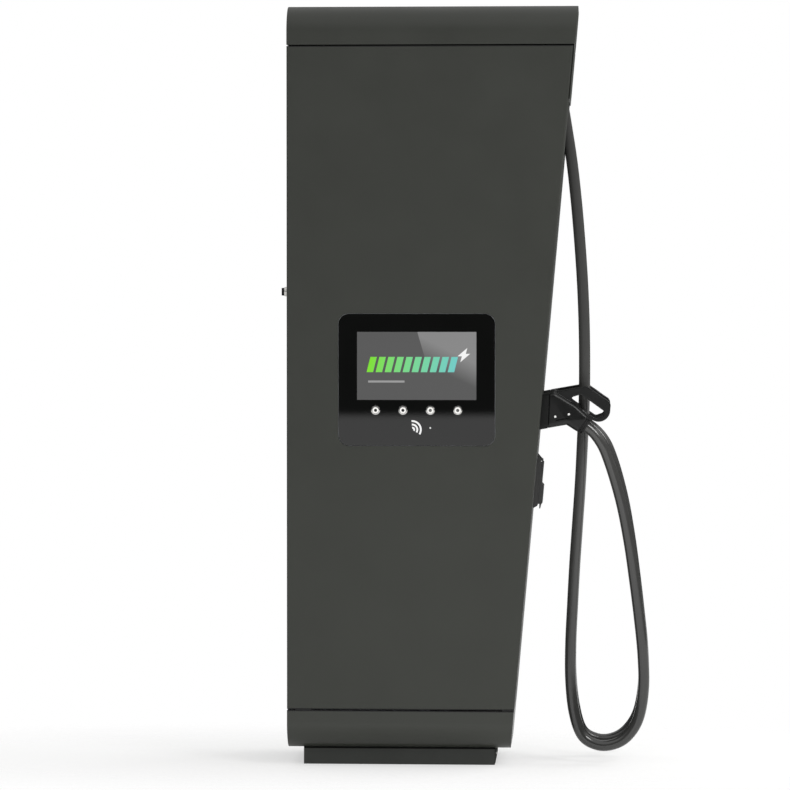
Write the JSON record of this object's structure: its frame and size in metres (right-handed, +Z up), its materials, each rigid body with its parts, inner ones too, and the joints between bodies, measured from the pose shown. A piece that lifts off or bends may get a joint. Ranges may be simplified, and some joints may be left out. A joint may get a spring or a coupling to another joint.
{
  "type": "ev charging post",
  "caption": "Leaning fast-charging post for electric cars with a display, push-buttons, tethered connectors with loop handles, a lidded AC socket and a louvred rear service door.",
  "frame": {"origin": "centre of the anchor bolt pattern on the underside of the plinth, on the floor", "axes": "+Z up, +X towards the leaning nose with the connectors, -Y towards the display side"},
  "size_m": [1.0699, 0.4436, 2.2],
  "materials": {
    "dark_paint": "fine-textured powder coat",
    "plinth_paint": "satin paint",
    "zinc_steel": "zinc-plated sheet",
    "bright_steel": "turned and brushed",
    "black_plastic": "fine moulded grain",
    "grey_plastic": "moulded",
    "pale_plastic": "moulded",
    "red_plastic": "moulded",
    "dark_glass": "back-printed toughened glass",
    "cable_jacket": "smooth extruded jacket",
    "seal_rubber": "foam rubber",
    "filter_felt": "felted mat",
    "module_metal": "plain sheet"
  },
  "bodies": {
    "cabinet": {"plinth": "plinth_paint", "plinth_cover": "plinth_paint", "base_plate": "zinc_steel", "skirt": "dark_paint", "chassis_posts": "zinc_steel", "rear_frame": "zinc_steel", "frame_spacers": "zinc_steel", "top_plate": "zinc_steel", "roof_cap": "dark_paint", "display_panel": "dark_paint", "plain_panel": "dark_paint", "nose_panel": "dark_paint", "cable_hood": "dark_paint", "outlet_pocket": "black_plastic", "gland_left": "black_plastic", "gland_right": "black_plastic", "holster_left": "black_plastic", "holster_right": "black_plastic", "cable_left": "cable_jacket", "cable_right": "cable_jacket", "socket_housing": "black_plastic", "socket_insert": "black_plastic", "lid_pin": "bright_steel", "fascia_glass": "dark_glass", "fascia_carrier": "zinc_steel", "display_module": "grey_plastic", "button_housings": "bright_steel", "card_reader": "grey_plastic", "door_seal": "seal_rubber", "hinge_leaves": "dark_paint", "hinge_pins": "bright_steel", "module_rack": "zinc_steel", "power_modules": "module_metal", "mounting_plate": "zinc_steel", "breaker_row": "pale_plastic", "contactors": "grey_plastic", "control_unit": "grey_plastic", "main_switch": "pale_plastic", "fan_shroud": "black_plastic", "coolant_unit": "pale_plastic"},
    "door": {"rear_door": "dark_paint", "door_filters": "filter_felt", "door_leaves": "dark_paint", "lock_body": "bright_steel"},
    "lock": {"lock_knob": "black_plastic", "lock_cam": "zinc_steel"},
    "lid": {"socket_lid": "black_plastic"},
    "switch_knob": {"main_switch_knob": "red_plastic"},
    "upper_fan": {"fan_rotor_upper": "black_plastic"},
    "lower_fan": {"fan_rotor_lower": "black_plastic"},
    "push_button_1": {"button_1": "bright_steel"},
    "push_button_2": {"button_2": "bright_steel"},
    "push_button_3": {"button_3": "bright_steel"},
    "push_button_4": {"button_4": "bright_steel"},
    "connector_left": {"connector_shell_left": "black_plastic", "connector_head_left": "black_plastic", "connector_sleeve_left": "black_plastic"},
    "connector_right": {"connector_shell_right": "black_plastic", "connector_head_right": "black_plastic", "connector_sleeve_right": "black_plastic"}
  },
  "joints": [
    {"name": "door_hinge", "type": "hinge", "parent": "cabinet", "child": "door", "pos_m": [-0.3285, 0.2045, 1.125], "axis": [0, 0, -1], "range_deg": [0, 120]},
    {"name": "lock_turn", "type": "hinge", "parent": "door", "child": "lock", "pos_m": [-0.322, -0.168, 1.375], "axis": [1, 0, 0], "range_deg": [0, 90]},
    {"name": "lid_hinge", "type": "hinge", "parent": "cabinet", "child": "lid", "pos_m": [0.41186, 0, 0.87957], "axis": [0, -1, 0], "range_deg": [0, 100], "stiffness_Nm_per_rad": 0.12, "springref_deg": -34.38},
    {"name": "switch_turn", "type": "hinge", "parent": "cabinet", "child": "switch_knob", "pos_m": [-0.0163, 0.11, 1.6], "axis": [1, 0, 0], "range_deg": [0, 90]},
    {"name": "upper_fan_spin", "type": "hinge", "parent": "cabinet", "child": "upper_fan", "pos_m": [-0.277, 0, 1.955], "axis": [1, 0, 0], "continuous": true},
    {"name": "lower_fan_spin", "type": "hinge", "parent": "cabinet", "child": "lower_fan", "pos_m": [-0.277, 0, 1.755], "axis": [1, 0, 0], "continuous": true},
    {"name": "button_1_press", "type": "slide", "parent": "cabinet", "child": "push_button_1", "axis": [0, 1, 0], "range_m": [0, 0.0025], "stiffness_N_per_m": 800},
    {"name": "button_2_press", "type": "slide", "parent": "cabinet", "child": "push_button_2", "axis": [0, 1, 0], "range_m": [0, 0.0025], "stiffness_N_per_m": 800},
    {"name": "button_3_press", "type": "slide", "parent": "cabinet", "child": "push_button_3", "axis": [0, 1, 0], "range_m": [0, 0.0025], "stiffness_N_per_m": 800},
    {"name": "button_4_press", "type": "slide", "parent": "cabinet", "child": "push_button_4", "axis": [0, 1, 0], "range_m": [0, 0.0025], "stiffness_N_per_m": 800},
    {"name": "connector_left_pull", "type": "slide", "parent": "cabinet", "child": "connector_left", "axis": [0.9848, 0, 0.1736], "range_m": [0, 0.16], "deforming": ["cable_left"]},
    {"name": "connector_right_pull", "type": "slide", "parent": "cabinet", "child": "connector_right", "axis": [0.9848, 0, 0.1736], "range_m": [0, 0.16], "deforming": ["cable_right"]}
  ]
}
